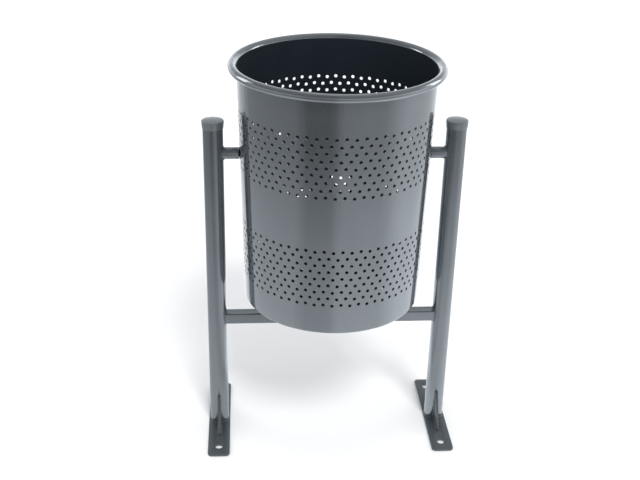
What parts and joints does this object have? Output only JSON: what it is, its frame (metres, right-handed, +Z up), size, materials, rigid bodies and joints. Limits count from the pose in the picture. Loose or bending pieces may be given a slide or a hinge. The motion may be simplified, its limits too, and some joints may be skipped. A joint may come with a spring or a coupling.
{
  "type": "litter bin",
  "caption": "Outdoor litter bin: round tapered perforated steel basket with a rolled rim, hung on pivots between two tubular posts with bolt-down base plates.",
  "frame": {"origin": "on the ground, midway between the two posts", "axes": "+Z up, X along the line of the two posts, Y from front to back"},
  "size_m": [0.548, 0.4368, 0.8566],
  "materials": {
    "frame_paint": "semi-gloss grey metallic powder coat",
    "cap_paint": "satin grey powder coat",
    "basket_paint": "semi-gloss grey metallic powder coat",
    "basket_inner_paint": "satin dark grey powder coat",
    "zinc_fastener": "zinc plated",
    "nylon": "moulded nylon"
  },
  "bodies": {
    "stand": {"left_post": "frame_paint", "left_post_cap": "cap_paint", "left_base_plate": "frame_paint", "left_front_gusset": "frame_paint", "left_rear_gusset": "frame_paint", "left_pivot_stub": "frame_paint", "left_pivot_insert": "zinc_fastener", "left_pivot_bolt": "zinc_fastener", "left_head_washer": "zinc_fastener", "right_post": "frame_paint", "right_post_cap": "cap_paint", "right_base_plate": "frame_paint", "right_front_gusset": "frame_paint", "right_rear_gusset": "frame_paint", "right_pivot_stub": "frame_paint", "right_pivot_insert": "zinc_fastener", "right_pivot_bolt": "zinc_fastener", "right_head_washer": "zinc_fastener", "crossbar": "frame_paint"},
    "basket": {"basket_shell": "basket_paint", "basket_rim": "basket_paint", "basket_floor": "basket_inner_paint", "left_pivot_bush": "nylon", "left_pivot_plate": "basket_inner_paint", "right_pivot_bush": "nylon", "right_pivot_plate": "basket_inner_paint"}
  },
  "joints": [
    {"name": "basket_tilt", "type": "hinge", "parent": "stand", "child": "basket", "pos_m": [0, 0, 0.662], "axis": [1, 0, 0], "continuous": true}
  ]
}
